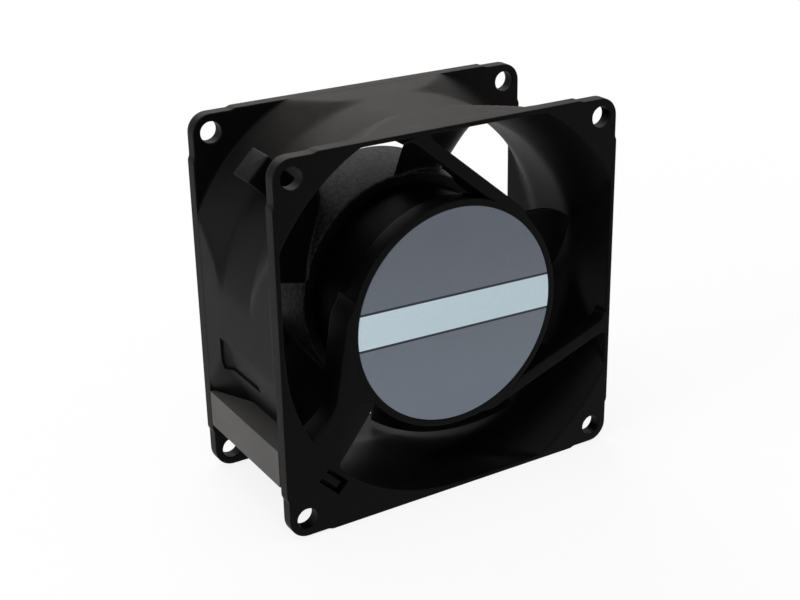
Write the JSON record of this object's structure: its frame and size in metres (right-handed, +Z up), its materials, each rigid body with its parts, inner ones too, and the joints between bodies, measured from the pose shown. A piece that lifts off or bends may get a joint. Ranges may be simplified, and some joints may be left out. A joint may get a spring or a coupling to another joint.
{
  "type": "axial cooling fan",
  "caption": "Square compact axial fan: black die-cast frame with flanges, flared duct, hub plate on struts, blank round nameplate and a cambered impeller on a ball-bearing motor.",
  "frame": {"origin": "centre of the fan's bounding box, on the spindle, halfway between the two flange faces", "axes": "X to the right and Z up in the square faces, +Y along the spindle from the face with the struts and the nameplate to the open rear face"},
  "size_m": [0.08, 0.038, 0.08],
  "materials": {
    "frame_paint": "satin black paint on a casting",
    "nameplate_foil": "printed satin foil, bluish grey, no text",
    "impeller_plastic": "black glass-filled plastic",
    "block_plastic": "black plastic",
    "tab_metal": "tinned brass",
    "lead_insulation": "dark insulation",
    "tube_brass": "turned brass",
    "bearing_steel": "ground steel",
    "ball_steel": "polished steel balls",
    "spring_steel": "dark spring steel",
    "electrical_steel": "stacked sheet, varnished",
    "insulator_plastic": "pale moulded plastic",
    "copper_wire": "enamelled copper wire",
    "copper_bar": "bare copper",
    "cage_aluminium": "cast aluminium",
    "cup_steel": "deep-drawn plated steel",
    "bush_aluminium": "turned aluminium"
  },
  "bodies": {
    "frame": {"housing": "frame_paint", "nameplate": "nameplate_foil", "terminal_block": "block_plastic", "live_tab": "tab_metal", "neutral_tab": "tab_metal", "live_lead": "lead_insulation", "neutral_lead": "lead_insulation", "bearing_tube": "tube_brass", "front_bearing_outer_ring": "bearing_steel", "front_bearing_shields": "bearing_steel", "rear_bearing_outer_ring": "bearing_steel", "rear_bearing_shields": "bearing_steel", "preload_spring": "spring_steel", "stator_core": "electrical_steel", "front_insulator": "insulator_plastic", "rear_insulator": "insulator_plastic", "coil_1": "copper_wire", "coil_2": "copper_wire", "coil_3": "copper_wire", "coil_4": "copper_wire", "shading_rings": "copper_bar"},
    "rotor": {"impeller": "impeller_plastic", "rotor_cup": "cup_steel", "rotor_bush": "bush_aluminium", "rotor_laminations": "electrical_steel", "rotor_cage": "cage_aluminium", "shaft": "bearing_steel", "shaft_clip": "spring_steel", "front_bearing_inner_ring": "bearing_steel", "rear_bearing_inner_ring": "bearing_steel"},
    "front_ball_set": {"front_bearing_balls": "ball_steel", "front_bearing_cage": "bearing_steel"},
    "rear_ball_set": {"rear_bearing_balls": "ball_steel", "rear_bearing_cage": "bearing_steel"}
  },
  "joints": [
    {"name": "impeller_spin", "type": "hinge", "parent": "frame", "child": "rotor", "pos_m": [0, 0, 0], "axis": [0, 1, 0], "continuous": true},
    {"name": "front_balls_spin", "type": "hinge", "parent": "frame", "child": "front_ball_set", "pos_m": [0, 0, 0], "axis": [0, 1, 0], "continuous": true},
    {"name": "rear_balls_spin", "type": "hinge", "parent": "frame", "child": "rear_ball_set", "pos_m": [0, 0, 0], "axis": [0, 1, 0], "continuous": true}
  ],
  "couplings": [
    {"joint": "front_balls_spin", "follows": "impeller_spin", "ratio": 0.37692},
    {"joint": "rear_balls_spin", "follows": "impeller_spin", "ratio": 0.37692}
  ]
}
